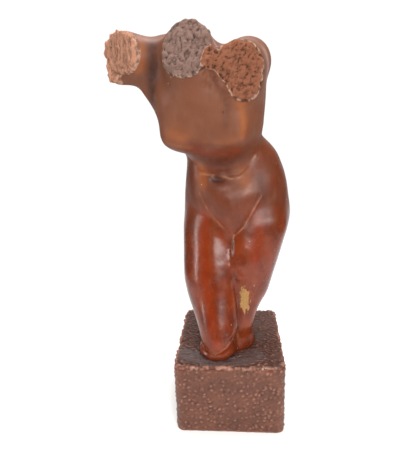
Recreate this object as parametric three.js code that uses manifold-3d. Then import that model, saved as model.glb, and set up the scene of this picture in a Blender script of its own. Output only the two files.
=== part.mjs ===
// A plaster female torso that leans forward on a square rough-tooled plinth.
// Millimetres, +Z up, the figure faces -Y. The origin is the centre of the plinth's underside.
import * as THREE from "three";
import { mergeVertices } from "three/addons/utils/BufferGeometryUtils.js";
import Module from "manifold-3d";

const wasm = await Module();
wasm.setup();

// Driving dimensions of the plinth. Its sides swell and sink by plinthLump over about plinthLumpSize.
const plinthWidth = 125;
const plinthDepth = 138;
const plinthHeight = 86;
const plinthCornerRadius = 9;
const plinthLump = 0.9;
const plinthLumpSize = 16;
const plinthFacet = 11;
const seatClearance = 0.3;

// Driving dimensions of the figure. The body below is laid out at laidOutHeight and keeps its proportions.
const figureHeight = 352;
const laidOutHeight = 352;
const share = figureHeight / laidOutHeight;
const figureFacet = 7;

// The broken faces of the neck and arms: how big their lumps are and how deep the waste behind them is.
const breakLumpSize = 7;
const breakFacet = 6;
const wasteDepth = 48;

const vec = (x, y, z) => new THREE.Vector3(x, y, z);
const degrees = THREE.MathUtils.degToRad;

// Smooth union of two distances, rounded over the width k.
function join(a, b, k) {
  const h = Math.max(k - Math.abs(a - b), 0) / k;
  return Math.min(a, b) - h * h * k * 0.25;
}

// Smooth cut of distance b out of distance a.
const carve = (a, b, k) => -join(-a, b, k);

const boxAround = (points, radius) => new THREE.Box3().setFromPoints(points).expandByScalar(radius);

// A limb: a cone with round ends, from one point and radius to another.
function limb(from, to, fromRadius, toRadius) {
  const start = vec(...from);
  const line = vec(...to).sub(start);
  const length2 = line.lengthSq();
  const drop = fromRadius - toRadius;
  const slant2 = length2 - drop * drop;
  const distance = (x, y, z) => {
    const out = vec(x, y, z).sub(start);
    const along = out.dot(line);
    const past = along - length2;
    const aside2 = out.multiplyScalar(length2).addScaledVector(line, -along).lengthSq();
    const beyondTo = past * past * length2;
    const beyondFrom = along * along * length2;
    const k = Math.sign(drop) * drop * drop * aside2;
    if (Math.sign(past) * slant2 * beyondTo > k) return Math.sqrt(aside2 + beyondTo) / length2 - toRadius;
    if (Math.sign(along) * slant2 * beyondFrom < k) return Math.sqrt(aside2 + beyondFrom) / length2 - fromRadius;
    return (Math.sqrt((aside2 * slant2) / length2) + along * drop) / length2 - fromRadius;
  };
  return { distance, box: boxAround([start, vec(...to)], Math.max(fromRadius, toRadius)) };
}

// A mass: an ellipsoid leant forward, turned about the vertical and tipped sideways, in degrees.
function mass(centre, radii, lean = 0, turn = 0, tip = 0) {
  const euler = new THREE.Euler(degrees(lean), degrees(tip), degrees(turn), "ZYX");
  const toOwnAxes = new THREE.Matrix4().makeRotationFromEuler(euler).transpose();
  const middle = vec(...centre);
  const radius = vec(...radii);
  const distance = (x, y, z) => {
    const p = vec(x, y, z).sub(middle).applyMatrix4(toOwnAxes).divide(radius);
    const reach = p.length();
    const slope = p.divide(radius).length();
    return slope === 0 ? -Math.min(...radii) : (reach * (reach - 1)) / slope;
  };
  return { distance, box: boxAround([middle], Math.max(...radii)) };
}

// The body as masses, each with the width over which it flows into those before it in its group.
// Places are x (towards the figure's left), y (backwards) and z above the plinth.
const pelvis = [
  // pelvis and crests of the hips
  [mass([10, 8, 175], [59, 36, 51], 0, 0, -8), 1],
  [mass([29, 7, 200], [32, 32, 43], -2, 0, 5), 14],
  [mass([-24, 7, 194], [20, 32, 46], 0, 0, -10), 14],
  // belly and the mound below it
  [mass([-3, -14, 182], [34, 24, 26], -6, 0, 8), 10],
  [mass([4, -12, 154], [24, 21, 26], 0, 0, 0), 12],
  // seat
  [mass([-20, 24, 152], [32, 30, 35], 0, 10, 0), 12],
  [mass([40, 24, 154], [34, 30, 36], 0, -10, 0), 12],
];

// The leg that stands in front, left in the picture: thigh, its swell below the groin, knee and shin stub.
const frontLeg = [
  [limb([-21, 5, 143], [-23, -10, 88], 32, 30), 1],
  [limb([-16, -8, 144], [-11, -37, 38], 22, 19), 12],
  [limb([-20, -13, 68], [-11, -44, 22], 29, 19), 8],
  [limb([-14, -37, -14], [-14, -37, 1], 24, 23), 8],
];

const backLeg = [
  [limb([35, 5, 148], [19, -2, 76], 35, 30), 1],
  [limb([18, -7, 152], [16, -18, 108], 22, 20), 12],
  [limb([17, -2, 76], [11, -18, 29], 26, 18), 8],
  [limb([10, -13, -14], [10, -13, 1], 25, 23), 8],
];

const trunk = [
  // waist and the hollow under the ribs
  [mass([5, 8, 221], [40, 30, 36], 9, -2, -7), 1],
  [mass([-5, -10, 235], [28, 20, 24], 12, 0, -10), 12],
  // rib cage, its upper part and the breastbone
  [mass([-10, -17, 264], [50, 39, 53], 25, -9, -9), 12],
  [mass([-20, -26, 290], [50, 29, 31], 30, -9, 0), 12],
  [mass([-20, -35, 280], [40, 26, 36], 20, -5, -5), 14],
  // breasts
  [limb([-44, -29, 283], [-44, -37, 252], 26, 20), 14],
  [limb([-49, -38, 252], [-60, -42, 244], 16, 5), 8],
  [limb([0, -32, 280], [5, -44, 253], 24, 19), 14],
  // the arm held out sideways, left in the picture, and the fold of muscle under it
  [limb([-51, -28, 319], [-121, -46, 332], 15, 24), 12],
  [limb([-57, -16, 307], [-125, -36, 304], 9, 6), 10],
  [limb([-73, -14, 295], [-40, -12, 266], 13, 20), 14],
  // the arm held forwards, right in the picture, its breast muscle and the shoulder behind it
  [mass([23, -8, 320], [23, 24, 22], 0, 0, 0), 12],
  [limb([22, -25, 315], [11, -76, 310], 24, 19), 10],
  [limb([21, -22, 286], [18, -76, 291], 20, 9), 10],
  [limb([0, -30, 286], [19, -50, 300], 22, 18), 12],
  // neck, the slope of the muscles beside it, and the web between the neck and the forward arm
  [limb([-31, -17, 325], [-34, -77, 336], 25, 21), 12],
  [limb([-31, -17, 314], [-34, -77, 325], 23, 21), 6],
  [limb([-60, -13, 327], [11, -8, 316], 20, 11), 14],
  [mass([-10, -66, 315], [9, 12, 10], 0, 0, 0), 6],
  // the top of the breastbone, under the neck
  [limb([-33, -57, 311], [-28, -46, 280], 20, 17), 12],
];

// Hollows cut into the joined body: navel, the lines of the groin, cleft of the seat, groove of the spine.
const hollows = [
  [mass([-9.5, -33, 203], [10, 5, 6], 0, 0, 0), 5],
  [limb([-30, -34, 190], [-17, -38, 166], 4, 6), 4],
  [limb([-17, -38, 166], [5, -38.5, 142], 6, 6), 4],
  [limb([36, -34, 184], [22, -37, 161], 4, 6), 4],
  [limb([22, -37, 161], [5, -38.5, 142], 6, 6), 4],
  [limb([9, 47, 124], [9, 50, 176], 5, 4), 6],
  [limb([6, 45, 196], [-14, 15, 306], 9, 8), 12],
];

// How softly each leg flows into the hips, the thighs into each other, and the chest into the belly.
const legWidth = 6;
const splitWidth = 2;
const foldWidth = 8;

const joined = (group, x, y, z) =>
  group.reduce((sum, [{ distance }, width]) => {
    const d = distance(x, y, z);
    return sum === null ? d : join(sum, d, width);
  }, null);

function figureDistance(x, y, z) {
  const hips = joined(pelvis, x, y, z);
  const front = join(hips, joined(frontLeg, x, y, z), legWidth);
  const back = join(hips, joined(backLeg, x, y, z), legWidth);
  const whole = join(join(front, back, splitWidth), joined(trunk, x, y, z), foldWidth);
  return hollows.reduce((d, [{ distance }, width]) => carve(d, distance(x, y, z), width), whole);
}

// The corners of the mesh are drawn onto the surface in a few passes, each along the slope of the
// distance, which is measured over the small length probe.
const drawPasses = 3;
const probe = 0.05;
const leastSlope2 = 0.2;

// A closed mesh of the surface where distance is nought: one vertex for each cell that the surface
// crosses, drawn onto the surface, and one four-sided face for each grid edge that it crosses.
function skin(distance, box, cell) {
  const low = box.min.toArray();
  const high = box.max.toArray();
  const n = [0, 1, 2].map((i) => Math.ceil((high[i] - low[i]) / cell) + 1);
  const value = new Float64Array(n[0] * n[1] * n[2]);
  const at = (i, j, k) => i + n[0] * (j + n[1] * k);
  for (let k = 0; k < n[2]; k++)
    for (let j = 0; j < n[1]; j++)
      for (let i = 0; i < n[0]; i++)
        value[at(i, j, k)] = distance(low[0] + i * cell, low[1] + j * cell, low[2] + k * cell);
  // A grid square with only two opposite corners inside would pinch the surface, so the nearer of its
  // outside corners is taken as inside until no such square is left.
  const stride = [1, n[0], n[0] * n[1]];
  const justInside = -cell / 100;
  for (let pinched = true; pinched; ) {
    pinched = false;
    for (const [u, w] of [[0, 1], [1, 2], [0, 2]])
      for (let a = 0; a < value.length - stride[u] - stride[w]; a++) {
        const square = [a, a + stride[u], a + stride[u] + stride[w], a + stride[w]];
        const inside = square.map((c) => value[c] < 0);
        if (inside[0] !== inside[2] || inside[1] !== inside[3] || inside[0] === inside[1]) continue;
        const [p, q] = square.filter((c) => value[c] >= 0);
        value[value[p] < value[q] ? p : q] = justInside;
        pinched = true;
      }
  }
  const corners = [0, 1, 2, 3, 4, 5, 6, 7].map((c) => [c & 1, (c >> 1) & 1, c >> 2]);
  const edges = [];
  for (let a = 0; a < 8; a++)
    for (let bit = 1; bit < 8; bit *= 2) if (!(a & bit)) edges.push([a, a | bit]);
  const vertexOf = new Map();
  const points = [];
  for (let k = 0; k < n[2] - 1; k++)
    for (let j = 0; j < n[1] - 1; j++)
      for (let i = 0; i < n[0] - 1; i++) {
        const v = corners.map(([a, b, c]) => value[at(i + a, j + b, k + c)]);
        const p = vec(0, 0, 0);
        let crossings = 0;
        for (const [a, b] of edges) {
          if (v[a] < 0 === v[b] < 0) continue;
          const t = v[a] / (v[a] - v[b]);
          p.x += corners[a][0] + t * (corners[b][0] - corners[a][0]);
          p.y += corners[a][1] + t * (corners[b][1] - corners[a][1]);
          p.z += corners[a][2] + t * (corners[b][2] - corners[a][2]);
          crossings++;
        }
        if (!crossings) continue;
        p.multiplyScalar(1 / crossings);
        vertexOf.set(at(i, j, k), points.length);
        points.push(vec(low[0] + (i + p.x) * cell, low[1] + (j + p.y) * cell, low[2] + (k + p.z) * cell));
      }
  const faces = [];
  const quad = (a, b, c, d, flip) => {
    const [p, q, r, s] = [a, b, c, d].map((key) => vertexOf.get(key));
    const split =
      points[p].distanceTo(points[r]) < points[q].distanceTo(points[s])
        ? [[p, q, r], [p, r, s]]
        : [[p, q, s], [q, r, s]];
    for (const f of split) faces.push(...(flip ? [f[0], f[2], f[1]] : f));
  };
  for (let k = 1; k < n[2] - 1; k++)
    for (let j = 1; j < n[1] - 1; j++)
      for (let i = 1; i < n[0] - 1; i++) {
        const here = value[at(i, j, k)] < 0;
        if (here !== value[at(i + 1, j, k)] < 0)
          quad(at(i, j - 1, k - 1), at(i, j, k - 1), at(i, j, k), at(i, j - 1, k), !here);
        if (here !== value[at(i, j + 1, k)] < 0)
          quad(at(i - 1, j, k - 1), at(i - 1, j, k), at(i, j, k), at(i, j, k - 1), !here);
        if (here !== value[at(i, j, k + 1)] < 0)
          quad(at(i - 1, j - 1, k), at(i, j - 1, k), at(i, j, k), at(i - 1, j, k), !here);
      }
  for (let pass = 0; pass < drawPasses; pass++)
    for (const p of points) {
      const d = distance(p.x, p.y, p.z);
      const slope = vec(
        distance(p.x + probe, p.y, p.z) - distance(p.x - probe, p.y, p.z),
        distance(p.x, p.y + probe, p.z) - distance(p.x, p.y - probe, p.z),
        distance(p.x, p.y, p.z + probe) - distance(p.x, p.y, p.z - probe),
      ).divideScalar(2 * probe);
      const move = d / Math.max(slope.lengthSq(), leastSlope2);
      p.addScaledVector(slope, -THREE.MathUtils.clamp(move, -cell / 3, cell / 3));
    }
  const geometry = new THREE.BufferGeometry().setFromPoints(points);
  geometry.setIndex(faces);
  return geometry;
}

function solidOf(geometry) {
  const bare = geometry.clone();
  for (const name of Object.keys(bare.attributes)) if (name !== "position") bare.deleteAttribute(name);
  const merged = mergeVertices(bare, 1e-4);
  return new wasm.Manifold(
    new wasm.Mesh({
      numProp: 3,
      vertProperties: new Float32Array(merged.attributes.position.array),
      triVerts: new Uint32Array(merged.index.array),
    }),
  );
}

function geometryOf(solid) {
  const mesh = solid.getMesh();
  const geometry = new THREE.BufferGeometry();
  geometry.setAttribute("position", new THREE.BufferAttribute(mesh.vertProperties, 3));
  geometry.setIndex(new THREE.BufferAttribute(mesh.triVerts, 1));
  geometry.computeVertexNormals();
  return geometry;
}

// Slow lumps, between -1 and 1.
const lumps = (x, y, size, seed) =>
  (Math.sin((x + 1.7 * Math.sin(y / size + seed)) / size * 2.1 + seed * 3) +
    Math.sin((y + 1.3 * Math.sin((x / size) * 1.3 + seed * 2)) / size * 1.9 + seed * 5) +
    Math.sin((x * 0.8 + y * 1.1) / size + seed * 7)) / 3;

// Where the neck and arms are broken off.
const breaks = [
  { at: [-32, -64, 327], facing: [-0.08, -0.82, 0.52], reach: 30, lump: 1.6, seed: 1 },
  { at: [-105, -38, 323], facing: [-0.64, -0.77, 0.04], reach: 40, lump: 1.2, seed: 2 },
  { at: [14, -68, 305], facing: [0.12, -0.98, -0.02], reach: 30, lump: 1.4, seed: 3 },
];

// The round block of waste that a break takes away, with a lumpy inner face.
function waste({ at, facing, reach, lump, seed }) {
  const cells = Math.round((2 * reach) / breakFacet);
  const block = new THREE.BoxGeometry(2 * reach, 2 * reach, wasteDepth, cells, cells, 1);
  const p = block.attributes.position;
  for (let i = 0; i < p.count; i++) {
    const x = p.getX(i) / reach;
    const y = p.getY(i) / reach;
    p.setX(i, reach * x * Math.sqrt(1 - (y * y) / 2));
    p.setY(i, reach * y * Math.sqrt(1 - (x * x) / 2));
    p.setZ(i, p.getZ(i) < 0 ? lump * lumps(p.getX(i), p.getY(i), breakLumpSize, seed) : wasteDepth);
  }
  const frame = new THREE.Object3D();
  frame.position.set(...at);
  frame.up.set(0, 0, 1);
  frame.lookAt(vec(...at).add(vec(...facing)));
  frame.updateMatrix();
  return solidOf(block.applyMatrix4(frame.matrix));
}

// The whole body, broken off at the neck and arms and cut flat where it stands.
function figureGeometry() {
  const box = new THREE.Box3();
  for (const [shape] of [...pelvis, ...frontLeg, ...backLeg, ...trunk]) box.union(shape.box);
  box.expandByScalar(2 * figureFacet);
  let solid = solidOf(skin(figureDistance, box, figureFacet));
  for (const b of breaks) solid = solid.subtract(waste(b));
  const size = box.getSize(vec(0, 0, 0));
  const middle = box.getCenter(vec(0, 0, 0));
  const below = new THREE.BoxGeometry(size.x, size.y, -box.min.z).translate(middle.x, middle.y, box.min.z / 2);
  solid = solid.subtract(solidOf(below));
  return geometryOf(solid).scale(share, share, share);
}

// The plinth: a block with rounded upright corners and softly uneven sides, flat above and below.
function plinthGeometry() {
  const half = vec(plinthWidth / 2, plinthDepth / 2, plinthHeight / 2);
  const cells = half.clone().multiplyScalar(2 / plinthFacet).round();
  const block = new THREE.BoxGeometry(plinthWidth, plinthDepth, plinthHeight, cells.x, cells.y, cells.z);
  const inner = vec(half.x - plinthCornerRadius, half.y - plinthCornerRadius, 0);
  const p = block.attributes.position;
  for (let i = 0; i < p.count; i++) {
    const v = vec(p.getX(i), p.getY(i), 0);
    const z = p.getZ(i);
    const core = v.clone().clamp(inner.clone().negate(), inner);
    const out = v.clone().sub(core);
    const onSide = Math.abs(v.x) === half.x || Math.abs(v.y) === half.y;
    if (out.x && out.y) v.copy(core).addScaledVector(out.clone().normalize(), Math.max(Math.abs(out.x), Math.abs(out.y)));
    if (onSide && Math.abs(z) < half.z) {
      const swell = 0.5 + 0.5 * lumps(core.x - core.y, z, plinthLumpSize, 4);
      v.addScaledVector(out.normalize(), -plinthLump * swell);
    }
    p.setXYZ(i, v.x, v.y, z);
  }
  return block.translate(0, 0, half.z);
}

const patina = new THREE.MeshStandardMaterial({ color: 0x84452c, roughness: 0.38, metalness: 0 });
const toolingPatina = new THREE.MeshStandardMaterial({ color: 0x6d4436, roughness: 0.6, metalness: 0 });

const torso = new THREE.Mesh(figureGeometry(), patina);
torso.name = "torso";
torso.position.z = plinthHeight + seatClearance;

const plinth = new THREE.Mesh(plinthGeometry(), toolingPatina);
plinth.name = "plinth";

const statue = new THREE.Group();
statue.add(torso, plinth);

export default statue;
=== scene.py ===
import math

import bmesh
import bpy
import numpy as np
from mathutils import Euler, Matrix, Vector


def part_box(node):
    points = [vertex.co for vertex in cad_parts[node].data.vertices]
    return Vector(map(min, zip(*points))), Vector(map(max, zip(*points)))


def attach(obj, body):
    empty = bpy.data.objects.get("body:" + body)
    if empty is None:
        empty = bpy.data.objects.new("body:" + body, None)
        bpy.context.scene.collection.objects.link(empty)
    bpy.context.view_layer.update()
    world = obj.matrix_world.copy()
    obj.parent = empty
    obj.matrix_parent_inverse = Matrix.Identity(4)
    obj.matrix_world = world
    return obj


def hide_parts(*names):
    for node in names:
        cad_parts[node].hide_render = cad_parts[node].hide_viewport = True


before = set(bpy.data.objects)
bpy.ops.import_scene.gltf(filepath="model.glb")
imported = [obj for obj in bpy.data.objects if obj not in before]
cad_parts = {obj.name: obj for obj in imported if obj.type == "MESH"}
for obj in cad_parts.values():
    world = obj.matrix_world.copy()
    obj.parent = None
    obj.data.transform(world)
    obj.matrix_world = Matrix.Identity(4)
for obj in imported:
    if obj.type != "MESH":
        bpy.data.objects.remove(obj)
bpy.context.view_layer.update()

# A plaster torso with a red-brown varnish, broken off at the neck and arms, on its hand-tooled plinth.
# Lengths below are in millimetres. The figure's own heights are counted from the top of the plinth.
mm = 0.001
plinthLow, plinthHigh = (np.array(corner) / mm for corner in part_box("plinth"))
seat = np.array(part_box("torso")[0])[2] / mm


# Patterns

def hashed(cell, seed):
    # A number from 0 to 1 for each whole-number cell: the fraction of a large sine of its weighted sum.
    mixed = np.sin(cell @ np.array([127.1, 311.7, 74.7]) + seed * 19.19) * 43758.5453
    return mixed - np.floor(mixed)


def softNoise(points, size, seed):
    # From -1 to 1: the hashed numbers of the eight corners round a point, blended by 3t^2 - 2t^3.
    place = points / size
    cell = np.floor(place)
    t = place - cell
    t = t * t * (3 - 2 * t)
    total = np.zeros(len(points))
    for corner in np.ndindex(2, 2, 2):
        share = np.prod(np.where(np.array(corner), t, 1 - t), axis=1)
        total += share * hashed(cell + np.array(corner), seed)
    return 2 * total - 1


def cells(points, size, seed):
    # One seed in each cube of that size: how near the nearest and the second nearest seed are, as shares
    # of the size, a number of the nearest one's own, and the way to it.
    place = points / size
    home = np.floor(place)
    nearest = np.full(len(points), 9.0)
    second = np.full(len(points), 9.0)
    own = np.zeros(len(points))
    way = np.zeros((len(points), 3))
    for step in np.ndindex(3, 3, 3):
        cell = home + np.array(step) - 1
        toSeed = cell + np.stack([hashed(cell, seed + i) for i in (1, 2, 3)], axis=1) - place
        distance = np.linalg.norm(toSeed, axis=1)
        closer = distance < nearest
        second = np.where(closer, nearest, np.minimum(second, distance))
        own = np.where(closer, hashed(cell, seed + 4), own)
        way[closer] = toSeed[closer]
        nearest = np.minimum(nearest, distance)
    return nearest, second, own, way


def ease(value, low, high):
    # 0 below low, 1 above high, and 3t^2 - 2t^3 between them.
    t = np.clip((value - low) / (high - low), 0, 1)
    return t * t * (3 - 2 * t)


def fading(value, width):
    # 1 at nought and less to either side of it: e to the minus square of the value counted in widths.
    return np.exp(-(value / width) ** 2)


def layered(points, waves, seed=0):
    # Soft noises added up: each has its height, the size of its lumps and its own number, added to the seed.
    return sum(height * softNoise(points, size, seed + own) for height, size, own in waves)


facet = {
    "turns": 7,  # how often the leans go round, over all the cells' own numbers
    "levels": 13,  # and how often their levels start again
    "levelHeight": 0.6,
    "edgeWidth": 0.16,
    "edgeTone": 0.6,
}


def facets(points, size, tilt, seed):
    # Chipped facets: each cell is a small flat slope with a lean and a level of its own. Its tone comes with
    # it at random, with a painted highlight along the thin edge to the next cell.
    nearest, second, own, way = cells(points, size, seed)
    turn = own * 2 * math.pi * facet["turns"]
    lean = way[:, 0] * np.cos(turn) + way[:, 1] * np.sin(turn)
    level = np.modf(own * facet["levels"])[0] - 0.5
    tone = own + facet["edgeTone"] * (1 - ease(second - nearest, 0, facet["edgeWidth"]))
    return tilt * lean + facet["levelHeight"] * tilt * level, tone


def bentLine(points, line):
    # The distance from each point to a line of straight stretches.
    best = np.full(len(points), 1e9)
    for start, end in zip(np.array(line[:-1], float), np.array(line[1:], float)):
        stretch = end - start
        t = np.clip((points - start) @ stretch / (stretch @ stretch), 0, 1)
        best = np.minimum(best, np.linalg.norm(points - start - t[:, None] * stretch, axis=1))
    return best


# The body as masses and limbs, with the solid's own numbers. Over half of the rows come from a program's
# fit to the photo's outline, rounded to whole millimetres and degrees.

def limb(start, end, startRadius, endRadius):
    # A cone with round ends: the distance to its slanted side, or to the ball past either end.
    start = np.array(start, float)
    line = np.array(end, float) - start
    length2 = line @ line
    drop = startRadius - endRadius
    slant2 = length2 - drop * drop

    def distance(points):
        out = points - start
        along = out @ line
        past = along - length2
        aside2 = ((out * length2 - along[:, None] * line) ** 2).sum(axis=1)
        beyondEnd = past * past * length2
        beyondStart = along * along * length2
        bound = np.sign(drop) * drop * drop * aside2
        side = (np.sqrt(aside2 * slant2 / length2) + along * drop) / length2 - startRadius
        side = np.where(np.sign(along) * slant2 * beyondStart < bound,
                        np.sqrt(aside2 + beyondStart) / length2 - startRadius, side)
        return np.where(np.sign(past) * slant2 * beyondEnd > bound,
                        np.sqrt(aside2 + beyondEnd) / length2 - endRadius, side)

    return distance


def mass(centre, radii, lean=0, turn=0, tip=0):
    # An ellipsoid, leant, tipped and turned: r (r - 1) / slope, with r the share of its radii reached.
    toOwnAxes = np.array(Euler([math.radians(a) for a in (lean, tip, turn)], "XYZ").to_matrix())
    radii = np.array(radii, float)

    def distance(points):
        p = (points - np.array(centre)) @ toOwnAxes / radii
        reach = np.linalg.norm(p, axis=1)
        slope = np.maximum(np.linalg.norm(p / radii, axis=1), 1e-9)
        return reach * (reach - 1) / slope

    return distance


def join(a, b, width):
    # Smooth union: the lesser of two distances, rounded where they differ by less than the width.
    nearness = np.maximum(width - np.abs(a - b), 0) / width
    return np.minimum(a, b) - nearness * nearness * width * 0.25


def joined(group, points):
    total = None
    for shape, width in group:
        d = shape(points)
        total = d if total is None else join(total, d, width)
    return total


pelvis = [
    (mass([10, 8, 175], [59, 36, 51], 0, 0, -8), 1),
    (mass([29, 7, 200], [32, 32, 43], -2, 0, 5), 14),
    (mass([-24, 7, 194], [20, 32, 46], 0, 0, -10), 14),
    (mass([-3, -14, 182], [34, 24, 26], -6, 0, 8), 10),
    (mass([4, -12, 154], [24, 21, 26]), 12),
    (mass([-20, 24, 152], [32, 30, 35], 0, 10, 0), 12),
    (mass([40, 24, 154], [34, 30, 36], 0, -10, 0), 12),
]
frontLeg = [
    (limb([-21, 5, 143], [-23, -10, 88], 32, 30), 1),
    (limb([-16, -8, 144], [-11, -37, 38], 22, 19), 12),
    (limb([-20, -13, 68], [-11, -44, 22], 29, 19), 8),
    (limb([-14, -37, -14], [-14, -37, 1], 24, 23), 8),
]
backLeg = [
    (limb([35, 5, 148], [19, -2, 76], 35, 30), 1),
    (limb([18, -7, 152], [16, -18, 108], 22, 20), 12),
    (limb([17, -2, 76], [11, -18, 29], 26, 18), 8),
    (limb([10, -13, -14], [10, -13, 1], 25, 23), 8),
]
trunk = [
    (mass([5, 8, 221], [40, 30, 36], 9, -2, -7), 1),
    (mass([-5, -10, 235], [28, 20, 24], 12, 0, -10), 12),
    (mass([-10, -17, 264], [50, 39, 53], 25, -9, -9), 12),
    (mass([-20, -26, 290], [50, 29, 31], 30, -9, 0), 12),
    (mass([-20, -35, 280], [40, 26, 36], 20, -5, -5), 14),
    (limb([-44, -29, 283], [-44, -37, 252], 26, 20), 14),
    (limb([-49, -38, 252], [-60, -42, 244], 16, 5), 8),
    (limb([0, -32, 280], [5, -44, 253], 24, 19), 14),
    (limb([-51, -28, 319], [-121, -46, 332], 15, 24), 12),
    (limb([-57, -16, 307], [-125, -36, 304], 9, 6), 10),
    (limb([-73, -14, 295], [-40, -12, 266], 13, 20), 14),
    (mass([23, -8, 320], [23, 24, 22]), 12),
    (limb([22, -25, 315], [11, -76, 310], 24, 19), 10),
    (limb([21, -22, 286], [18, -76, 291], 20, 9), 10),
    (limb([0, -30, 286], [19, -50, 300], 22, 18), 12),
    (limb([-31, -17, 325], [-34, -77, 336], 25, 21), 12),
    (limb([-31, -17, 314], [-34, -77, 325], 23, 21), 6),
    (limb([-60, -13, 327], [11, -8, 316], 20, 11), 14),
    (mass([-10, -66, 315], [9, 12, 10]), 6),
    (limb([-33, -57, 311], [-28, -46, 280], 20, 17), 12),
]
hollows = [
    (mass([-9.5, -33, 203], [10, 5, 6]), 5),
    (limb([-30, -34, 190], [-17, -38, 166], 4, 6), 4),
    (limb([-17, -38, 166], [5, -38.5, 142], 6, 6), 4),
    (limb([36, -34, 184], [22, -37, 161], 4, 6), 4),
    (limb([22, -37, 161], [5, -38.5, 142], 6, 6), 4),
    (limb([9, 47, 124], [9, 50, 176], 5, 4), 6),
    (limb([6, 45, 196], [-14, 15, 306], 9, 8), 12),
]


def unbroken(points):
    # The distance to the body as it was before it broke: above nought outside it, below nought inside.
    hips = joined(pelvis, points)
    front = join(hips, joined(frontLeg, points), 6)
    back = join(hips, joined(backLeg, points), 6)
    whole = join(join(front, back, 2), joined(trunk, points), 8)
    for shape, width in hollows:
        whole = -join(-whole, shape(points), width)
    return whole


def slopeOf(points, distance, probe=0.05):
    # How fast the distance grows along each axis, from a small step along it.
    return np.stack([unbroken(points + step) - distance for step in np.eye(3) * probe], axis=1) / probe


# Mesh helpers

def corners(mesh):
    values = np.empty(len(mesh.vertices) * 3)
    mesh.vertices.foreach_get("co", values)
    return values.reshape(-1, 3) / mm


def setCorners(mesh, points):
    mesh.vertices.foreach_set("co", (points * mm).ravel())
    mesh.update()


def outwards(mesh):
    values = np.empty(len(mesh.vertices) * 3)
    mesh.vertex_normals.foreach_get("vector", values)
    return values.reshape(-1, 3)


def smoothed(mesh, values, passes, strength=0.5):
    # Each pass moves a vertex's value a part of the way to the mean of its neighbours.
    ends = np.empty(len(mesh.edges) * 2, dtype=np.int64)
    mesh.edges.foreach_get("vertices", ends)
    a, b = ends.reshape(-1, 2).T
    count = len(mesh.vertices)
    around = np.maximum(np.bincount(a, minlength=count) + np.bincount(b, minlength=count), 1)
    flat = values.reshape(count, -1).astype(float)
    for _ in range(passes):
        mean = np.stack([np.bincount(a, column[b], count) + np.bincount(b, column[a], count)
                         for column in flat.T], axis=1) / around[:, None]
        flat = flat + strength * (mean - flat)
    return flat.reshape(values.shape)


def keep(mesh, name, values):
    # Keeps a number for each vertex, for the finish to read.
    layer = mesh.attributes.new(name, "FLOAT", "POINT")
    layer.data.foreach_set("value", values.astype(np.float32))


def place(name, mesh, node, slot, finish):
    made = bpy.data.objects.new(name, mesh)
    bpy.context.scene.collection.objects.link(made)
    mesh.materials.clear()
    mesh.materials.append(finish)
    mesh.shade_smooth()
    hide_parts(node)
    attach(made, "root")
    return made


# Finishes

class Wire:
    # Wraps a socket, so that maths on it reads as an expression and adds its Math nodes.
    def __init__(self, finish, socket):
        self.finish = finish
        self.socket = socket

    def maths(self, operation, *others):
        return self.finish.node("Math", {"operation": operation}, dict(enumerate((self,) + others)))

    def __add__(self, other):
        return self.maths("ADD", other)

    def __sub__(self, other):
        return self.maths("SUBTRACT", other)

    def __mul__(self, other):
        return self.maths("MULTIPLY", other)

    def __rsub__(self, other):
        return self.finish.node("Math", {"operation": "SUBTRACT"}, {0: other, 1: self})

    def __pow__(self, other):
        return self.maths("POWER", other)

    __radd__ = __add__
    __rmul__ = __mul__

    def over(self, low, high):
        # 0 at low, 1 at high, with a soft step between them.
        settings = {"interpolation_type": "SMOOTHSTEP"}
        return self.finish.node("MapRange", settings, {"Value": self, "From Min": low, "From Max": high})

    def limited(self):
        return self.finish.node("Math", {"operation": "ADD", "use_clamp": True}, {0: self, 1: 0})


class Finish:
    def __init__(self, name, owners=bpy.data.materials, place="Object"):
        self.owner = owners.new(name)
        self.owner.use_nodes = True
        self.tree = self.owner.node_tree
        self.tree.nodes.clear()
        self.place = self.node("TexCoord", {}, {}, place)

    def node(self, kind, settings, sockets, output=0):
        # Any node: its settings first, then the values or links of its sockets, by name or number.
        made = self.tree.nodes.new("ShaderNode" + kind)
        for key, value in settings.items():
            setattr(made, key, value)
        for key, value in sockets.items():
            if isinstance(value, Wire):
                self.tree.links.new(value.socket, made.inputs[key])
            elif isinstance(value, tuple) and len(value) == 3 and made.inputs[key].type == "RGBA":
                made.inputs[key].default_value = (*value, 1)
            else:
                made.inputs[key].default_value = value
        return Wire(self, made.outputs[output]) if made.outputs else None

    def counted(self, size, stretch):
        # The place counted in lumps of size millimetres, longer along an axis whose stretch is above 1.
        scale = tuple(1 / (share * size * mm) for share in stretch)
        return self.node("Mapping", {}, {"Vector": self.place, "Scale": scale})

    def noise(self, size, detail=3, roughness=0.5, stretch=(1, 1, 1)):
        # Soft noise whose lumps are about size millimetres, from about 0 to 1.
        place = self.counted(size, stretch)
        sockets = {"Vector": place, "Scale": 1, "Detail": detail, "Roughness": roughness}
        return self.node("TexNoise", {}, sockets)

    def cells(self, size):
        # How far the nearest seed is, with one seed in each cube of size millimetres.
        sockets = {"Vector": self.counted(size, (1, 1, 1)), "Scale": 1}
        return self.node("TexVoronoi", {"feature": "F1"}, sockets, "Distance")

    def kept(self, name):
        return self.node("Attribute", {"attribute_name": name}, {}, "Fac")

    def mix(self, factor, first, second):
        # The node's colours are its sockets 6 and 7, and the mixed colour is its output 2.
        return self.node("Mix", {"data_type": "RGBA"}, {0: factor, 6: first, 7: second}, 2)

    def done(self, colour, roughness, height, reach, **constants):
        bump = self.node("Bump", {}, {"Height": height, "Strength": 1, "Distance": reach * mm})
        sockets = {"Base Color": colour, "Roughness": roughness, "Normal": bump}
        sockets.update({name.replace("_", " "): value for name, value in constants.items()})
        shader = self.node("BsdfPrincipled", {}, sockets)
        self.node("OutputMaterial", {}, {"Surface": shader})
        return self.owner


# Torso

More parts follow.
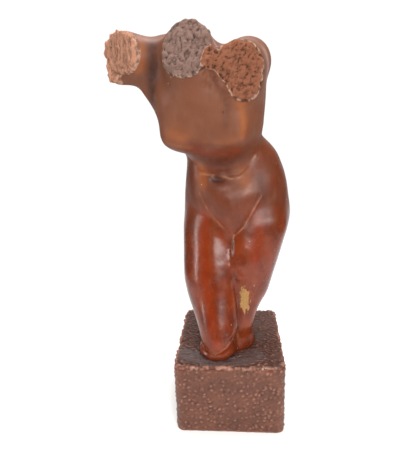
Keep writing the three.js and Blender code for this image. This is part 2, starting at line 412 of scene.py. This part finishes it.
torso = {
    "voxel": 1.4,  # spacing of the fine mesh
    "drawPasses": 3,
    "drawStep": 1.5,  # the furthest that one pass draws a vertex
    "drawnTo": (0.8, 2.2),  # what is deeper inside the smooth body than this is a broken face
    "leastSlope": 0.2,
    "rimFrom": (0.3, 1.2),  # the rim of a break begins over these depths
    "rimTo": (1.8, 3),  # and ends over these
    "rimPasses": 12,
    "rimGain": 3,
    "firstEvened": 10,  # passes that even out the skin everywhere but at the rims
    "evened": 62,  # passes after them, but for the line where the thighs meet
    "thighLine": [(6, -31, 141), (4, -30, 120), (4, -28, 104), (6, -30, 79), (10, -32, 54), (10, -36, 27),
                  (10, -30, 0)],
    "thighReach": 9,
    "waves": [(0.25, 17, 3), (0.08, 6, 5)],  # how uneven the skin is: height, size and number
    "sunk": 2.0,  # how far the shins reach into the plinth's uneven top
    "ragged": 1.6,  # how deep the rims of the breaks are chipped
    # lines pressed into the skin: through these points, so wide and so deep. Most points here and in the
    # lists below are pixels of the photo, which a program placed on the body in whole millimetres.
    "creases": [
        ([(-27, -29, 183), (-17, -30, 166), (-12, -31, 160), (-7, -31, 157), (0, -32, 149),
          (6, -31, 141)], 1.3, 0.7),
        ([(34, -27, 182), (30, -28, 174), (26, -28, 167), (22, -29, 161), (16, -31, 152), (11, -31, 146),
          (6, -31, 141)], 1.3, 0.7),
        ([(-40, -16, 225), (-27, -23, 212), (-16, -24, 210), (-7, -24, 210), (4, -26, 206),
          (14, -26, 207), (23, -24, 216), (32, -19, 231)], 1.5, 0.9),
        ([(5, -31, 139), (4, -30, 120), (4, -29, 104), (6, -30, 79), (10, -32, 54), (10, -36, 27)], 1.2, 1.0),
        ([(-13, -27, 202), (-6, -28, 201)], 3.0, 1.2),
    ],
    # painted shade: the varnish darkened where shade falls, in the hollow beside the neck, down between the
    # breasts and under them, over the belly's fold, in the navel, beside the right groin, between the thighs
    # and round the foot of the shins. Here and in the next three lists a place has its line, its width and
    # its strength.
    "shades": [
        ([(-66, -46, 336), (-66, -50, 317), (-70, -36, 300), (-73, -33, 284)], 7, 1.0),
        ([(-30, -28, 226), (-11, -32, 221), (14, -28, 222)], 9, 0.5),
        ([(-13, -27, 202), (-6, -28, 201)], 5.5, 1.0),
        ([(5, -29, 134), (4, -27, 104), (6, -30, 79), (10, -32, 54), (10, -36, 27)], 4.5, 0.6),
        ([(-34, -53, 242), (-25, -47, 238), (-15, -51, 240)], 5, 0.3),
        ([(-9, -65, 299), (-1, -65, 287), (3, -64, 276), (1, -64, 258)], 4, 0.45),
        ([(33, -27, 200), (38, -27, 184), (38, -26, 167)], 8, 0.5),
        ([(-1, -64, 269), (-1, -64, 270)], 1.2, 1.0),
        ([(-34, -36, -2), (-24, -56, -2), (-12, -60, -2), (3, -48, -2), (20, -38, -2),
          (29, -23, -2)], 8, 0.6),
    ],
    # painted light: an orange glow along lit strips, on the left arm, down the right side of the chest, along
    # the lower rims of the breasts and on both sides of the belly
    "glows": [
        ([(-79, -53, 328), (-81, -48, 311)], 7, 1.0),
        ([(16, -64, 276), (18, -58, 262), (17, -57, 247)], 4.5, 0.9),
        ([(-53, -56, 250), (-39, -56, 245)], 7, 0.5),
        ([(-61, -49, 245), (-49, -53, 239), (-35, -49, 237)], 3, 0.5),
        ([(-19, -51, 242), (0, -60, 241), (16, -58, 246)], 4, 0.4),
        ([(-28, -24, 217), (-26, -29, 197)], 6, 0.7),
        ([(16, -28, 212), (22, -28, 194)], 9, 0.6),
    ],
    # places where it is thick and deep red
    "reds": [
        ([(-25, -26, 163), (-27, -35, 125), (-24, -44, 82), (-18, -58, 40)], 6, 0.9),
        ([(36, -26, 173), (33, -31, 141), (29, -35, 108)], 6, 0.7),
        ([(-13, -62, 26), (-14, -61, 22)], 6, 0.8),
        ([(-30, -45, 236), (-12, -43, 228), (10, -46, 232)], 8, 0.6),
    ],
    # painted reflections: a pale sheen on the tops of the shoulders and on the side of the neck
    "pales": [
        ([(38, -45, 322), (42, -40, 310), (43, -33, 298)], 6, 0.8),
        ([(-12, -43, 339), (-9, -42, 331)], 5, 0.9),
        ([(-78, -48, 338), (-69, -45, 338), (-58, -42, 340)], 4, 0.6),
    ],
    # soft lips beside the folds: through these points, so wide and so high
    "lips": [
        ([(-27, -25, 208), (-16, -27, 206), (-7, -27, 206), (4, -29, 202), (14, -29, 203),
          (23, -27, 212), (31, -22, 225)], 2.0, 0.35),
        ([(-29, -29, 188), (-19, -31, 166), (-8, -32, 154), (0, -33, 146), (5, -33, 139)], 1.4, 0.45),
        ([(37, -27, 183), (28, -29, 167), (17, -32, 149), (11, -32, 143), (7, -33, 138)], 1.4, 0.45),
    ],
    # soft swellings, and a hollow over one of them: where, how wide and how high
    "swells": [((16, -37, 122), 12, 1.2), ((19, -29, 156), 9, -1.0), ((15, -33, 93), 10, 2.2)],
    # the lower rim of the knee, from its left end to its right, and how far the shin stands back under it
    "kneeRim": [(-34, 22), (-28, 15), (-22, 12), (-15, 9), (-8, 14), (-1, 20), (6, 28), (11, 32)],
    "kneeStep": 1.5,
    "kneeFull": 1.0,  # how much fuller the knee is just above its rim
    "kneeFullest": 7,  # and how far above the rim it is fullest
    "kneeEnds": (8, 12),  # the knee fades out over these X, toward the other leg
    "kneeBack": (-28, -14),  # and over these Y, toward the calf
    "kneeUnder": (-0.4, 1.2),  # the step under the rim begins over these depths below it
    "shinFrom": (6, 14),  # and has faded out over these
}
chipping = {
    "fade": 4,  # a broken face fades out over this much of its reach
    "height": (5, 9),  # and over these distances in front of it or behind it
    "depth": (0.4, 2.2),  # its chips begin over these depths inside the smooth body
    "warp": 1.2,
    "warpSize": 4,
    "lumpSize": 12,
    "waver": [(1.5, 4, 61)],  # how unsteady the outline of what stands up is
    "rimHeight": (3, 6),
    "rimDepth": (1.5, 5),
    "biteSize": 3.4,
    "notches": [(1.8, 6.5, 12), (1.1, 2.6, 13)],
}
# Where the neck and the arms are broken off: a point of the break, the way it faces, how its chips lie, and
# what stands up from it, along these lines of the face, so wide and so high.
breaks = {
    "neck": {"at": (-32, -64, 327), "facing": (-0.08, -0.82, 0.52), "reach": 34,
             "chip": 4.6, "tilt": 1.6, "stretch": (1, 0.6), "lumps": 1.6, "seed": 11,
             "raised": [([(10, 17, 0), (12, 11, 0)], 6.5, 2.4)]},
    "side": {"at": (-105, -38, 323), "facing": (-0.64, -0.77, 0.04), "reach": 44,
             "chip": 4.2, "tilt": 1.4, "stretch": (1, 0.42), "lumps": 1.0, "seed": 23, "raised": []},
    "fore": {"at": (14, -68, 305), "facing": (0.12, -0.98, -0.02), "reach": 36,
             "chip": 3.8, "tilt": 1.4, "stretch": (0.9, 1), "lumps": 1.8, "seed": 37,
             "raised": [([(11, 24, 0), (5, 8, 0)], 2.6, 1.7)]},
}


def fineCopy(node, voxel):
    # A copy of the solid, merged and cut up into small even squares.
    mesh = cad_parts[node].data.copy()
    work = bmesh.new()
    work.from_mesh(mesh)
    bmesh.ops.remove_doubles(work, verts=work.verts, dist=0.01 * mm)
    work.to_mesh(mesh)
    work.free()
    holder = bpy.data.objects.new("holder", mesh)
    bpy.context.scene.collection.objects.link(holder)
    remesh = holder.modifiers.new("fine", "REMESH")
    remesh.mode = "VOXEL"
    remesh.voxel_size = voxel * mm
    fine = bpy.data.meshes.new_from_object(holder.evaluated_get(bpy.context.evaluated_depsgraph_get()))
    bpy.data.objects.remove(holder)
    return fine


def breakAxes(spec):
    facing = np.array(spec["facing"]) / np.linalg.norm(spec["facing"])
    across = np.cross((0, 0, 1), facing)
    across /= np.linalg.norm(across)
    return across, np.cross(facing, across), facing


def bodyLines(points):
    # How far its lines, folds and swells lift the skin, and where a highlight is painted on what stands up.
    lift = layered(points, torso["waves"])
    for line, width, depth in torso["creases"]:
        lift -= depth * fading(bentLine(points, line), width)
    for line, width, height in torso["lips"]:
        lift += height * fading(bentLine(points, line), width)
    for at, width, height in torso["swells"]:
        lift += height * fading(np.linalg.norm(points - at, axis=1), width)
    rimX, rimZ = np.array(torso["kneeRim"], float).T
    below = np.interp(points[:, 0], rimX, rimZ) - points[:, 2]
    onKnee = (1 - ease(points[:, 0], *torso["kneeEnds"])) * (1 - ease(points[:, 1], *torso["kneeBack"]))
    stepping = ease(below, *torso["kneeUnder"])
    lift -= torso["kneeStep"] * onKnee * stepping * (1 - ease(below, *torso["shinFrom"]))
    lift += torso["kneeFull"] * onKnee * fading(below + torso["kneeFullest"], torso["kneeFullest"])
    # a painted highlight along the knee's lower rim, and below along the lips of the folds and the line
    # between the thighs
    paintedHighlight = 0.6 * onKnee * fading(below + 0.6, 1.1)
    for line, width, height in torso["lips"]:
        paintedHighlight = np.maximum(paintedHighlight, 0.5 * fading(bentLine(points, line), 0.6 * width))
    return lift, np.maximum(paintedHighlight, 0.45 * fading(bentLine(points, torso["thighLine"]), 1.0))


def chipBreak(points, normals, inside, spec):
    # Moves the points of one broken face and its rim. How near each point is to the face comes back, and how
    # pale its chip is, with painted highlights along the chips' edges.
    across, up, facing = breakAxes(spec)
    own = points - spec["at"]
    u, v, w = own @ across, own @ up, own @ facing
    seed = spec["seed"]
    beside = ease(np.hypot(u, v), spec["reach"] - chipping["fade"], spec["reach"])
    near = (1 - beside) * (1 - ease(np.abs(w), *chipping["height"]))
    face = near * ease(inside, *chipping["depth"])
    flat = np.stack([u * spec["stretch"][0], v * spec["stretch"][1], 0 * u], axis=1)
    warp = [softNoise(flat, chipping["warpSize"], seed + i) for i in range(2)]
    flat[:, :2] += chipping["warp"] * np.stack(warp, axis=1)
    coarse, coarseTone = facets(flat, spec["chip"], spec["tilt"], seed)
    fine, fineTone = facets(flat, spec["chip"] * 0.5, spec["tilt"] * 0.5, seed + 5)
    relief = coarse + fine + spec["lumps"] * softNoise(points, chipping["lumpSize"], seed + 7)
    for line, width, height in spec["raised"]:
        away = bentLine(np.stack([u, v, 0 * u], axis=1), line) + layered(points, chipping["waver"])
        relief += height * (1 - ease(away, width * 0.6, width))
    points += facing * (relief * face)[:, None]
    rim = (1 - ease(np.abs(w), *chipping["rimHeight"])) * near * (1 - ease(inside, *chipping["rimDepth"]))
    bite = torso["ragged"] * np.maximum(softNoise(points, chipping["biteSize"], seed + 9), 0)
    points -= facing * (bite * rim)[:, None]
    points += normals * (layered(points, chipping["notches"], seed) * rim)[:, None]
    return near, (0.4 * coarseTone + 0.6 * fineTone) * ease(face, 0.1, 0.6)


def makeTorso():
    mesh = fineCopy("torso", torso["voxel"])
    points = corners(mesh) - (0, 0, seat)
    # the skin is drawn onto the smooth body; what lies deeper is a broken face
    for _ in range(torso["drawPasses"]):
        distance = unbroken(points)
        slope = slopeOf(points, distance)
        onSkin = 1 - ease(-distance, *torso["drawnTo"])
        step = distance / np.maximum((slope ** 2).sum(axis=1), torso["leastSlope"])
        step = np.clip(step, -torso["drawStep"], torso["drawStep"])
        points -= slope * (step * onSkin)[:, None]
    inside = np.maximum(-unbroken(points), 0)
    setCorners(mesh, points)
    # where one mass meets the next the skin is evened out, but not at the rims of the breaks
    band = ease(inside, *torso["rimFrom"]) * (1 - ease(inside, *torso["rimTo"]))
    rims = smoothed(mesh, band, torso["rimPasses"]) * torso["rimGain"]
    thighs = fading(bentLine(points, torso["thighLine"]), torso["thighReach"])
    kept = rims.clip(0, 1)[:, None]
    lightly = smoothed(mesh, points, torso["firstEvened"])
    fully = smoothed(mesh, lightly, torso["evened"])
    points = kept * points + (1 - kept) * (fully + (lightly - fully) * thighs[:, None])
    inside = np.maximum(-unbroken(points), 0)
    setCorners(mesh, points)
    normals = outwards(mesh)

    lift, paintedHighlight = bodyLines(points)
    skin = 1 - ease(inside, 0.2, 1.0)
    points += normals * (lift * skin)[:, None]
    fleck = np.zeros(len(points))
    for name, spec in breaks.items():
        near, tone = chipBreak(points, normals, inside, spec)
        fleck += tone
        keep(mesh, name + "Break", inside * near)

    # the shins reach a little way into the plinth
    points[:, 2] -= torso["sunk"] * (1 - ease(points[:, 2], 0, 3))
    setCorners(mesh, points)
    normals = outwards(mesh)
    keep(mesh, "pit", ((smoothed(mesh, points, 5) - points) * normals).sum(axis=1))
    for name in ("shades", "glows", "reds", "pales"):
        tint = np.zeros(len(points))
        for line, width, strength in torso[name]:
            tint = np.maximum(tint, strength * fading(bentLine(points, line), width))
        keep(mesh, name, tint)
    keep(mesh, "paintedHighlight", paintedHighlight)
    keep(mesh, "fleck", fleck)
    setCorners(mesh, points + (0, 0, seat))
    return mesh


varnish = {
    "deep": (0.090, 0.012, 0.003),
    "bright": (0.190, 0.029, 0.005),
    "dusty": (0.165, 0.054, 0.023),
    "hips": (0.110, 0.023, 0.006),
    "red": (0.210, 0.022, 0.003),
    "paintedLightOrange": (0.330, 0.092, 0.020),
    "film": (0.200, 0.085, 0.050),
    "pale": (0.420, 0.250, 0.200),
    "paintedShade": (0.028, 0.006, 0.004),
    "paintedHighlight": (0.380, 0.170, 0.085),
    "rim": (0.520, 0.340, 0.250),
    "speck": (0.550, 0.420, 0.360),
    "plaster": (0.420, 0.220, 0.070),
    "plasterAt": (18.5, 64.0),
    "plasterSize": (5.5, 16.0),
    "plasterFront": (-22, -18),  # the flaked place is on the front alone and fades out over these Y
    "hipsFrom": (110, 190),  # heights over which the hips' brown and the haze come in
    "hazeFrom": (215, 260),
    "neck": (0.135, 0.080, 0.064),
    "side": (0.290, 0.140, 0.088),
    "fore": (0.160, 0.058, 0.030),
}


def toned(colour, share):
    return tuple(share * channel for channel in colour)


def atHeights(z, heights):
    # 0 below the lower of two heights on the figure, 1 above the higher.
    return z.over((seat + heights[0]) * mm, (seat + heights[1]) * mm)


def varnishFinish():
    finish = Finish("patinated plaster")
    patches = finish.noise(22, 3, 0.55)
    colour = finish.mix(patches.over(0.25, 0.75), varnish["deep"], varnish["bright"])
    x, y, z = (finish.node("SeparateXYZ", {}, {0: finish.place}, axis) for axis in "XYZ")
    # browner over the hips and the belly than on the thighs and the knees
    hips = atHeights(z, varnish["hipsFrom"]) * (finish.noise(20, 3).over(0.2, 0.7) * 0.4 + 0.6)
    colour = finish.mix(hips, colour, varnish["hips"])
    # dust and haze on the chest and the shoulders
    haze = atHeights(z, varnish["hazeFrom"]) * (finish.noise(14, 4, 0.6).over(0.2, 0.8) * 0.4 + 0.6)
    colour = finish.mix(haze, colour, varnish["dusty"])
    uneven = finish.noise(9, 4, 0.6).over(0.1, 0.7) * 0.5 + 0.5
    colour = finish.mix(finish.kept("reds") * uneven * 0.8, colour, varnish["red"])
    # painted light: orange where the light catches the arm, the chest's side, the breasts' rims and the belly
    colour = finish.mix(finish.kept("glows") * uneven * 0.8, colour, varnish["paintedLightOrange"])
    # painted shade, darkening the hollows, the folds and the creases
    colour = finish.mix(finish.kept("shades") * uneven * 0.9, colour, varnish["paintedShade"])
    # painted reflections, pale, on the shoulders and the neck
    colour = finish.mix(finish.kept("pales") * uneven * 0.8, colour, varnish["pale"])
    # a film of faded varnish lies over it in soft streaks
    film = finish.noise(7, 5, 0.65, (1, 1, 2.6)).over(0.45, 0.8) * 0.3
    colour = finish.mix(film, colour, varnish["film"])
    # painted highlights along the knee's rim, on the lips of the folds and beside the line where the thighs
    # meet
    colour = finish.mix(finish.kept("paintedHighlight") * finish.noise(6, 3).over(0.25, 0.65), colour, varnish["paintedHighlight"])
    # small pale specks
    speck = 1 - finish.cells(9).over(0.04, 0.07)
    colour = finish.mix(speck * finish.noise(30).over(0.55, 0.6), colour, varnish["speck"])
    roughness = finish.noise(10, 4).over(0.2, 0.8) * 0.07 + (haze * 0.22 + hips * hips * 0.26 + 0.22)
    height = finish.noise(1.6, 3) * 0.15 + finish.noise(8, 2) * 0.4
    # the place on the thigh where the varnish has flaked off down to the plaster
    atX, atZ = varnish["plasterAt"]
    wide, high = varnish["plasterSize"]
    aside = (x - atX * mm) * (1 / (wide * mm))
    along = (z - (seat + atZ) * mm) * (1 / (high * mm))
    flaking = finish.noise(3.2, 4, 0.65, (1, 1, 1.8)) * 2.4 - 1.2
    bare = 1 - ((aside * aside + along * along) ** 0.5 + flaking).over(0.93, 1.0)
    front, behind = varnish["plasterFront"]
    bare = bare * (1 - y.over(front * mm, behind * mm))
    crumbs = finish.noise(1.5, 3).over(0.35, 0.7)
    crust = finish.mix(crumbs, toned(varnish["plaster"], 0.62), varnish["plaster"])
    colour = finish.mix(bare, colour, crust)
    roughness = roughness + bare * 0.35
    height = height - bare * 0.9
    # the broken faces: painted shade in their pits, painted highlights on their crests, and pale along their
    # rims
    grain = finish.noise(1.1, 5, 0.7)
    pit = finish.kept("pit")
    fleck = finish.kept("fleck")
    for name in breaks:
        own = varnish[name]
        depth = finish.kept(name + "Break")
        face = (depth + grain * 0.6).over(0.7, 1.1)
        flecked = (fleck * 0.55 + grain * 0.6).over(0.25, 0.95)
        tint = finish.mix(flecked, toned(own, 0.55), toned(own, 1.6))
        tint = finish.mix(pit.over(0.1, 0.6) * 0.7, tint, toned(own, 0.3))
        tint = finish.mix(pit.over(-0.05, -0.4), tint, toned(own, 1.5))
        tint = finish.mix(grain.over(0.45, 0.7) * 0.25, tint, toned(own, 0.55))
        rim = face * (1 - (depth + grain).over(1.2, 2.2)) * finish.noise(4, 3).over(0.4, 0.6)
        tint = finish.mix(rim * 0.7, tint, varnish["rim"])
        colour = finish.mix(face, colour, tint)
        roughness = roughness + face * 0.4
        height = height + face * grain * 1.6
    return finish.done(colour, roughness.limited(), height, 0.3, Specular_IOR_Level=0.34)


torsoSkin = place("torsoSkin", makeTorso(), "torso", "patinated_plaster", varnishFinish())
print("torso:", len(torsoSkin.data.polygons), "squares")


# Plinth

plinth = {
    "columns": 512,
    "cornerRadius": 9.0,
    "edgeRadius": 2.4,
    "step": 1.05,
    "pebble": 4.4,  # spacing of the dabs on the sides
    "pebbleHeight": 0.85,
    "wrinkle": 5.0,  # spacing of the folds worked into the top
    "wrinkleHeight": 0.95,
    "ragged": 1.7,  # how uneven the upper edge is
    "raggedReach": 2.6,
    "groove": 1.1,  # depth of the line pressed in below it
    "grooveAt": 4.2,  # how far below the middle of the edge it runs
    "grooveWidth": 1.3,
    # unevenness, each wave with its height, size and number
    "sideWaves": [(0.35, 15, 43), (0.2, 3, 44)],
    "foldBends": [(6, 13, 49), (3, 5, 50)],
    "edgeWaves": [(0.7, 6, 53), (0.6, 2.6, 54)],
    # knocked-off places: where, how wide and how deep
    "chips": [((-62, -21, 86), 4.5, 2.6), ((38, -69, 85), 4.0, 1.8), ((-45, 69, 85), 5.0, 1.6)],
    "cracks": [([(-62, -19, 86), (-50, -8, 86), (-37, -6, 86)], 1.6, 1.3)],
    # the strip in front of the shins that was rubbed smooth and has gone grey
    "rubbed": ([(-58, -38, 86), (-35, -50, 86), (-12, -63, 86), (12, -54, 86), (28, -44, 86)], 13),
}


def plinthOutline(inset):
    # The rounded oblong of the plinth, drawn in by inset: straight runs and quarter rounds, evenly spaced.
    half = (plinthHigh - plinthLow)[:2] / 2
    radius = plinth["cornerRadius"]
    straight = 2 * (half - radius)
    quarter = radius * math.pi / 2
    runs = [straight[1], quarter, straight[0], quarter] * 2
    starts = np.concatenate([[0], np.cumsum(runs)])
    s = np.arange(plinth["columns"]) / plinth["columns"] * starts[-1]
    side = np.searchsorted(starts, s, side="right") - 1
    along = s - starts[side]
    # each side and the round after it face one quarter turn further
    turn = (side // 2) * math.pi / 2
    onRound = side % 2 == 1
    bend = np.where(onRound, along / radius, 0)
    core = np.array([(half[0], half[1]), (half[1], half[0])])[(side // 2) % 2] - radius
    run = np.where(onRound, core[:, 1], along - core[:, 1])
    x, y = core[:, 0] + radius * np.cos(bend), run + radius * np.sin(bend)
    outline = np.stack([x * np.cos(turn) - y * np.sin(turn), x * np.sin(turn) + y * np.cos(turn)], axis=1)
    return outline * (1 - inset[:, None, None] / half)


def makePlinth():
    half = (plinthHigh - plinthLow)[:2] / 2
    top = plinthHigh[2]
    radius = plinth["edgeRadius"]
    # the profile: in from the middle of the underside, up the side, round the edge, in over the top
    reach = min(half)
    under = np.linspace(reach, radius * 0.4, 8)
    up = np.arange(0.6, top - radius, plinth["step"])
    bend = np.linspace(0, math.pi / 2, 5)
    over = np.linspace(radius, reach - 0.5, 56)[1:]
    inset = np.concatenate([under, 0 * up, radius * (1 - np.cos(bend)), over])
    height = np.concatenate([0 * under, up, top - radius + radius * np.sin(bend), 0 * over + top])
    rows = len(inset)
    columns = plinth["columns"]
    flat = plinthOutline(inset)
    heights = np.broadcast_to(height[:, None, None], (rows, columns, 1))
    points = np.concatenate([flat, heights], axis=2).reshape(-1, 3)
    number = np.arange(rows * columns).reshape(rows, columns)
    here, inner = number[:-1], number[1:]
    squares = np.stack([here, np.roll(here, -1, axis=1), np.roll(inner, -1, axis=1), inner], axis=-1)
    faces = squares.reshape(-1, 4).tolist() + [number[0][::-1].tolist(), number[-1].tolist()]
    mesh = bpy.data.meshes.new("plinthSkin")
    mesh.from_pydata((points * mm).tolist(), [], faces)
    normals = outwards(mesh)

    # how far each ring is from the middle of the upper edge: below nought down the side, above it on the top
    steps = np.hypot(np.diff(inset), np.diff(height))
    ringAt = np.concatenate([[0], np.cumsum(steps)])
    ringAt -= ringAt[len(under) + len(up) + 2]
    fromEdge = np.repeat(ringAt, columns)
    onTop = ease(fromEdge, 0.5, 4)
    line, width = plinth["rubbed"]
    rubbed = onTop * np.exp(-(bentLine(points, line) / width) ** 4)

    warped = points + 1.5 * np.stack([softNoise(points, 6, 45 + i) for i in range(3)], axis=1)
    nearest, second, own, way = cells(warped, plinth["pebble"], 41)
    dabs = plinth["pebbleHeight"] * ((1 - ease(nearest, 0.1, 0.75)) * (0.4 + own) - 0.5)
    dabs += layered(points, plinth["sideWaves"])
    bent = layered(points, plinth["foldBends"])
    folds = np.sin((points[:, 1] + 0.35 * points[:, 0] + bent) * 2 * math.pi / plinth["wrinkle"])
    strength = 0.5 + 0.5 * softNoise(points, 9, 52)
    folds = plinth["wrinkleHeight"] * folds * strength + 0.6 * softNoise(points, 3, 51)
    folds += 0.8 * dabs
    lift = dabs * (1 - onTop) + folds * onTop * (1 - 0.6 * rubbed)
    uneven = layered(points, plinth["edgeWaves"])
    lift += plinth["ragged"] * uneven * fading(fromEdge, plinth["raggedReach"])
    pressed = fading(fromEdge + plinth["grooveAt"], plinth["grooveWidth"])
    pressed *= ease(softNoise(points * (1, 1, 0), 14, 55), -0.5, 0.3)
    lift -= plinth["groove"] * pressed
    chipped = np.zeros(len(points))
    for at, size, depth in plinth["chips"]:
        reach = np.linalg.norm(points - at, axis=1) / size + 0.35 * softNoise(points, 2.5, 57)
        lift -= depth * (1 - ease(reach, 0.6, 1.0))
        chipped = np.maximum(chipped, 1 - ease(reach, 0.5, 0.9))
    for line, width, depth in plinth["cracks"]:
        near = bentLine(points, line) / width + 0.4 * softNoise(points, 2.5, 58)
        lift -= depth * (1 - ease(near, 0.2, 1.3))
    low = ease(points[:, 2], 0, 1.5)
    points += normals * (lift * low)[:, None]
    points[:, 2] = np.maximum(points[:, 2], 0)
    setCorners(mesh, points)
    keep(mesh, "pit", ((smoothed(mesh, points, 6) - points) * outwards(mesh)).sum(axis=1))
    keep(mesh, "dab", (1 - ease(nearest, 0.1, 0.36)) * ease(own, 0.1, 0.5) * (1 - 0.5 * onTop))
    keep(mesh, "edge", fading(fromEdge, 3) * ease(uneven, -0.1, 0.5))
    keep(mesh, "pressed", pressed)
    keep(mesh, "rubbed", rubbed)
    keep(mesh, "chipped", chipped)
    keep(mesh, "onTop", onTop)
    return mesh


tooling = {
    "base": (0.140, 0.050, 0.028),
    "brown": (0.095, 0.032, 0.018),
    "pink": (0.300, 0.130, 0.085),
    "dark": (0.030, 0.011, 0.009),
    "red": (0.190, 0.040, 0.018),
    "top": (0.065, 0.021, 0.012),
    "edge": (0.400, 0.210, 0.155),
    "rubbed": (0.120, 0.090, 0.088),
    "bare": (0.620, 0.480, 0.400),
}


def toolingFinish():
    finish = Finish("tooled plaster")
    pit = finish.kept("pit")
    onTop = finish.kept("onTop")
    colour = finish.mix(finish.noise(18, 4, 0.6).over(0.3, 0.7), tooling["base"], tooling["brown"])
    colour = finish.mix(onTop * 0.8, colour, tooling["top"])
    hazy = finish.kept("rubbed") * finish.noise(7, 5, 0.7, (1.8, 0.7, 1)).over(0.3, 0.6)
    colour = finish.mix(hazy * 0.8, colour, tooling["rubbed"])
    # painted highlights, pale pink, on the raised bits of the ragged upper edge
    colour = finish.mix(finish.kept("edge") * finish.noise(4, 3).over(0.3, 0.6), colour, tooling["edge"])
    # painted shade in the pits of the tooling
    colour = finish.mix(pit.over(0.0, 0.3) * 0.75, colour, tooling["dark"])
    colour = finish.mix(finish.kept("pressed") * 0.6, colour, tooling["red"])
    # painted highlights, pink, on the crowns of the lumps and on the tops of the dabs
    crown = pit.over(-0.08, -0.4) * finish.noise(2.5, 3).over(0.35, 0.6)
    pale = (crown * 0.75 + finish.kept("dab") * finish.noise(1.6, 2).over(0.35, 0.6) * 0.7).limited()
    colour = finish.mix(pale, colour, tooling["pink"])
    chipped = finish.kept("chipped") * finish.noise(2, 3).over(0.4, 0.55)
    colour = finish.mix(chipped, colour, tooling["bare"])
    roughness = finish.noise(5, 4).over(0.2, 0.8) * 0.2 + 0.36
    streaks = finish.noise(1.1, 3, 0.5, (1, 7, 7)) * finish.kept("rubbed")
    height = finish.noise(1.2, 5, 0.65) + finish.noise(2.6, 3) * 0.8 + streaks
    return finish.done(colour, roughness, height, 0.55, Specular_IOR_Level=0.35)


plinthSkin = place("plinthSkin", makePlinth(), "plinth", "tooled_plaster", toolingFinish())
print("plinth:", len(plinthSkin.data.polygons), "squares")


# Studio

studio = {
    # the camera's place, and its angles in degrees, come from a fit to six corners of the plinth
    "cameraAt": (11.7, -450.9, 352.5),
    "down": 16.15,
    "roll": -1.98,
    "turned": -4.92,
    "lens": 36 * 400 / 465,
    "floor": 500,  # how far the floor reaches to each side
    # how bright the tent is behind the piece, around it and how much more overhead
    "back": 1.03,
    "around": 0.12,
    "above": 0.14,
    "lights": [
        # place, aim, width, height and strength of each soft light, and how warm it is
        ((100, -800, 1150), (0, 0, 230), 420, 420, 7, (1.0, 0.98, 0.95)),
        ((-890, -340, 330), (0, 0, 200), 130, 800, 4.5, (1.0, 0.98, 0.96)),
        ((520, -880, 420), (0, 0, 220), 1000, 170, 9.5, (1.0, 0.98, 0.96)),
        ((0, 150, 1500), (0, 0, 0), 1000, 1000, 18, (1.0, 1.0, 1.0)),
    ],
}


def addCamera():
    down, roll, turned = (math.radians(studio[name]) for name in ("down", "roll", "turned"))
    ahead = Vector((math.sin(turned) * math.cos(down), math.cos(turned) * math.cos(down), -math.sin(down)))
    right = Vector((math.cos(turned), -math.sin(turned), 0))
    up = right.cross(ahead)
    across = right * math.cos(roll) + up * math.sin(roll)
    upwards = up * math.cos(roll) - right * math.sin(roll)
    camera = bpy.data.objects.new("camera", bpy.data.cameras.new("camera"))
    camera.data.lens = studio["lens"]
    camera.data.clip_start = 0.01
    turn = Matrix((across, upwards, -ahead)).transposed().to_4x4()
    camera.matrix_world = Matrix.Translation(Vector(studio["cameraAt"]) * mm) @ turn
    bpy.context.scene.collection.objects.link(camera)
    bpy.context.scene.camera = camera


def addLights():
    for n, (at, aim, wide, high, power, colour) in enumerate(studio["lights"]):
        lamp = bpy.data.lights.new(f"soft{n}", "AREA")
        lamp.shape = "ELLIPSE"
        lamp.size = wide * mm
        lamp.size_y = high * mm
        lamp.energy = power
        lamp.color = colour
        made = bpy.data.objects.new(f"soft{n}", lamp)
        made.location = Vector(at) * mm
        made.rotation_euler = (Vector(aim) - Vector(at)).to_track_quat("-Z", "Y").to_euler()
        bpy.context.scene.collection.objects.link(made)
    # a white tent: bright behind the piece and overhead, dim on the side that the camera looks from
    tent = Finish("tent", bpy.data.worlds, "Generated")
    back = tent.node("SeparateXYZ", {}, {0: tent.place}, "Y").over(0.55, 0.75)
    above = tent.node("SeparateXYZ", {}, {0: tent.place}, "Z").over(0.3, 0.95)
    strength = back * (studio["back"] - studio["around"]) + above * studio["above"] + studio["around"]
    sky = tent.node("Background", {}, {"Color": (1.0, 1.0, 1.0), "Strength": strength})
    tent.node("OutputWorld", {}, {"Surface": sky})
    bpy.context.scene.world = tent.owner


def addFloor():
    # A square of pale board, a metre wide, with the piece in its middle.
    reach = studio["floor"] * mm
    mesh = bpy.data.meshes.new("floor")
    around = [(-reach, -reach, 0), (reach, -reach, 0), (reach, reach, 0), (-reach, reach, 0)]
    mesh.from_pydata(around, [], [(0, 1, 2, 3)])
    floor = bpy.data.objects.new("floor", mesh)
    bpy.context.scene.collection.objects.link(floor)
    finish = Finish("pale board")
    mesh.materials.append(finish.done((0.9, 0.9, 0.9), 0.8, finish.noise(3), 0.02))


addCamera()
addLights()
addFloor()
bpy.context.scene.view_settings.view_transform = "Standard"
print("studio: camera, lights and floor")
